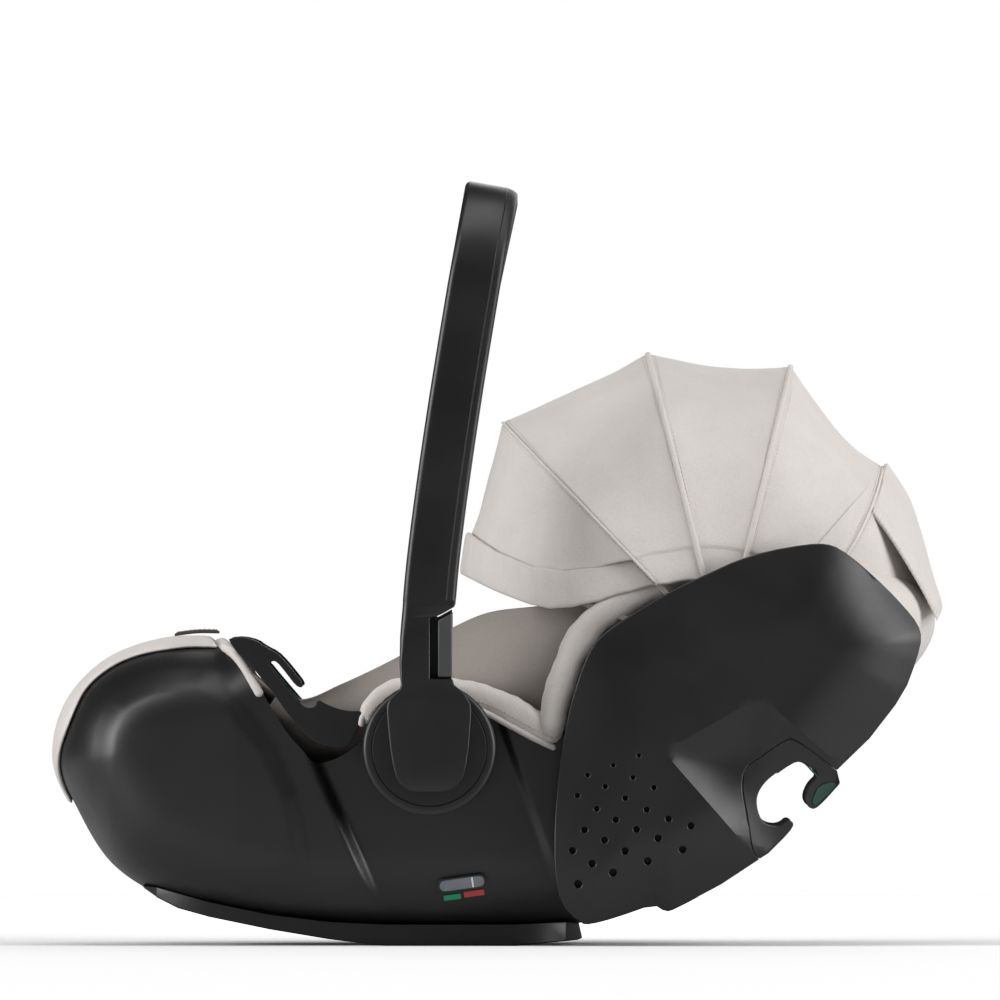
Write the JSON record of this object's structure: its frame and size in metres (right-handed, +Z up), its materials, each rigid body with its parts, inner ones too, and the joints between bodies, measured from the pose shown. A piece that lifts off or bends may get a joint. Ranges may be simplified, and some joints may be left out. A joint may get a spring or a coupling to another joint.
{
  "type": "infant car seat",
  "caption": "Rear-facing infant carrier with a bucket shell, padded seat, harness, folding canopy, sliding headrest and a carrying handle that turns back.",
  "frame": {"origin": "under the middle of the seat, on the surface it stands on", "axes": "+X towards the head end, +Y towards the child's right, +Z up"},
  "size_m": [0.6797, 0.44, 0.581],
  "materials": {
    "black_plastic": "fine moulded grain",
    "grey_plastic": "fine moulded grain",
    "button_plastic": "satin",
    "red_plastic": "satin",
    "beige_fabric": "soft knitted fabric",
    "grey_fabric": "soft knitted fabric",
    "webbing": "woven webbing",
    "foam": "expanded foam beads",
    "steel": "zinc plated",
    "gauge": "clear window over a liquid",
    "leather": "grained leather"
  },
  "bodies": {
    "carrier": {"outer_shell": "black_plastic", "base_runner": "black_plastic", "canopy_bow_4": "black_plastic", "buckle_body": "black_plastic", "belt_adjuster": "black_plastic", "rear_side_panel_L": "black_plastic", "rear_side_panel_R": "black_plastic", "belt_hook_L": "black_plastic", "belt_hook_R": "black_plastic", "lap_belt_guide_L": "black_plastic", "lap_belt_guide_R": "black_plastic", "hub_disc_L": "grey_plastic", "hub_disc_R": "grey_plastic", "canopy_rear_flap": "beige_fabric", "seat_cover": "beige_fabric", "foot_rim_cover": "beige_fabric", "head_rim_cover": "beige_fabric", "side_rim_cover_L": "beige_fabric", "side_rim_cover_R": "beige_fabric", "newborn_insert": "grey_fabric", "crotch_pad": "grey_fabric", "shoulder_pad_L": "grey_fabric", "shoulder_pad_R": "grey_fabric", "lap_strap": "webbing", "crotch_strap": "webbing", "shoulder_strap_L": "webbing", "shoulder_strap_R": "webbing", "foam_liner": "foam", "latch_bar_front": "steel", "latch_bar_rear": "steel", "pivot_bolt_L": "steel", "pivot_bolt_R": "steel", "canopy_pivot_L": "steel", "canopy_pivot_R": "steel", "level_gauge_L": "gauge", "level_gauge_R": "gauge", "leather_tag": "leather"},
    "handle": {"handle_shell": "black_plastic", "handle_trim": "grey_plastic", "handle_arm_end_L": "black_plastic", "handle_arm_end_R": "black_plastic", "lock_spring_L": "steel", "lock_spring_R": "steel"},
    "handle_button_L": {"handle_button_L": "button_plastic"},
    "handle_button_R": {"handle_button_R": "button_plastic"},
    "lock_pin_L": {"lock_pin_L": "steel"},
    "lock_pin_R": {"lock_pin_R": "steel"},
    "canopy_3": {"canopy_bow_3": "black_plastic", "canopy_cloth_4": "beige_fabric"},
    "canopy_2": {"canopy_bow_2": "black_plastic", "canopy_cloth_3": "beige_fabric"},
    "canopy_1": {"canopy_bow_1": "black_plastic", "canopy_cloth_2": "beige_fabric"},
    "canopy_brim": {"canopy_brim_bow": "black_plastic", "canopy_cloth_1": "beige_fabric"},
    "headrest": {"headrest_frame": "black_plastic", "headrest_pad": "beige_fabric"},
    "buckle_button": {"buckle_button": "red_plastic"},
    "adjuster_button": {"adjuster_button": "button_plastic"},
    "release_lever": {"release_lever": "button_plastic"}
  },
  "joints": [
    {"name": "handle_turn", "type": "hinge", "parent": "carrier", "child": "handle", "pos_m": [-0.0525, 0, 0.15], "axis": [0, 1, 0], "range_deg": [0, 95]},
    {"name": "handle_button_press_L", "type": "slide", "parent": "handle", "child": "handle_button_L", "axis": [-1, 0, 0], "range_m": [0, 0.004], "stiffness_N_per_m": 900, "springref_m": -0.002},
    {"name": "lock_pin_lift_L", "type": "slide", "parent": "handle", "child": "lock_pin_L", "axis": [0, 0, 1], "range_m": [0, 0.004], "deforming": ["lock_spring_L"]},
    {"name": "handle_button_press_R", "type": "slide", "parent": "handle", "child": "handle_button_R", "axis": [-1, 0, 0], "range_m": [0, 0.004], "stiffness_N_per_m": 900, "springref_m": -0.002},
    {"name": "lock_pin_lift_R", "type": "slide", "parent": "handle", "child": "lock_pin_R", "axis": [0, 0, 1], "range_m": [0, 0.004], "deforming": ["lock_spring_R"]},
    {"name": "canopy_bow_3_turn", "type": "hinge", "parent": "carrier", "child": "canopy_3", "pos_m": [0.1705, 0, 0.2228], "axis": [0, 1, 0], "range_deg": [0, 24], "deforming": ["canopy_cloth_4"]},
    {"name": "canopy_bow_2_turn", "type": "hinge", "parent": "canopy_3", "child": "canopy_2", "pos_m": [0.1705, 0, 0.2228], "axis": [0, 1, 0], "range_deg": [0, 24], "deforming": ["canopy_cloth_3"]},
    {"name": "canopy_bow_1_turn", "type": "hinge", "parent": "canopy_2", "child": "canopy_1", "pos_m": [0.1705, 0, 0.2228], "axis": [0, 1, 0], "range_deg": [0, 24], "deforming": ["canopy_cloth_2"]},
    {"name": "canopy_brim_turn", "type": "hinge", "parent": "canopy_1", "child": "canopy_brim", "pos_m": [0.1705, 0, 0.2228], "axis": [0, 1, 0], "range_deg": [0, 24], "deforming": ["canopy_cloth_1"]},
    {"name": "headrest_slide", "type": "slide", "parent": "carrier", "child": "headrest", "axis": [0.766, 0, 0.6428], "range_m": [0, 0.045]},
    {"name": "buckle_button_press", "type": "slide", "parent": "carrier", "child": "buckle_button", "axis": [-0.3101, 0, -0.9507], "range_m": [0, 0.003], "stiffness_N_per_m": 900, "springref_m": -0.001},
    {"name": "adjuster_button_press", "type": "slide", "parent": "carrier", "child": "adjuster_button", "axis": [-0.7308, 0, -0.6826], "range_m": [0, 0.002], "stiffness_N_per_m": 700, "springref_m": -0.001},
    {"name": "release_lever_pull", "type": "hinge", "parent": "carrier", "child": "release_lever", "pos_m": [0.27, 0, 0.181], "axis": [0, -1, 0], "range_deg": [0, 15], "stiffness_Nm_per_rad": 0.6, "springref_deg": -11.46}
  ],
  "couplings": [
    {"joint": "lock_pin_lift_L", "follows": "handle_button_press_L", "ratio": 1},
    {"joint": "lock_pin_lift_R", "follows": "handle_button_press_R", "ratio": 1},
    {"joint": "canopy_bow_2_turn", "follows": "canopy_bow_3_turn", "ratio": 1},
    {"joint": "canopy_bow_1_turn", "follows": "canopy_bow_3_turn", "ratio": 1},
    {"joint": "canopy_brim_turn", "follows": "canopy_bow_3_turn", "ratio": 1}
  ]
}
